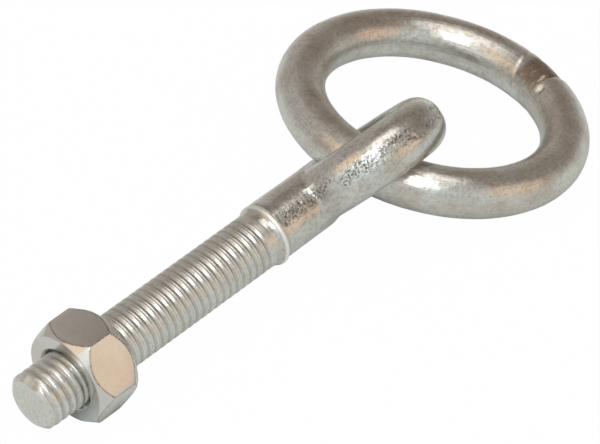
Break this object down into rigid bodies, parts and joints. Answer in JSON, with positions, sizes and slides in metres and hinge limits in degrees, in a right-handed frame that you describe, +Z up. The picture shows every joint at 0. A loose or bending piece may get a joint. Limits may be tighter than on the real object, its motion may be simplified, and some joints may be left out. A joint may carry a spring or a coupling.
{
  "type": "bolt-on tie-down ring",
  "caption": "Forged eye bolt with a threaded shank and hexagon nut, carrying a loose welded round ring that swings in the eye.",
  "frame": {"origin": "on the ground under the middle of the part's bounding box, as it lies at rest on the nut's flat, the eye and the ring", "axes": "+X on the ground along the bolt from its nose to its eye, +Y to its left, +Z up; the bolt's own axis rises about 4 degrees from +X"},
  "size_m": [0.1027, 0.0446, 0.0206],
  "materials": {
    "forged_zinc": "bright zinc over a rough forged skin, pitted along the body and eye",
    "ring_zinc": "bright zinc over drawn bar, fine lengthwise scratches",
    "nut_zinc": "bright zinc, smooth flats"
  },
  "bodies": {
    "bolt": {"eye_bolt": "forged_zinc"},
    "ring": {"tie_ring": "ring_zinc"},
    "nut": {"hex_nut": "nut_zinc"}
  },
  "joints": [
    {"name": "ring_swing", "type": "hinge", "parent": "bolt", "child": "ring", "pos_m": [0.01062, -0.00375, 0.01033], "axis": [-0.0487, 0.7096, 0.7029], "range_deg": [-181, 148]},
    {"name": "nut_travel", "type": "slide", "parent": "bolt", "child": "nut", "axis": [0.9976, 0, 0.0691], "range_m": [-0.005, 0.02625]}
  ]
}
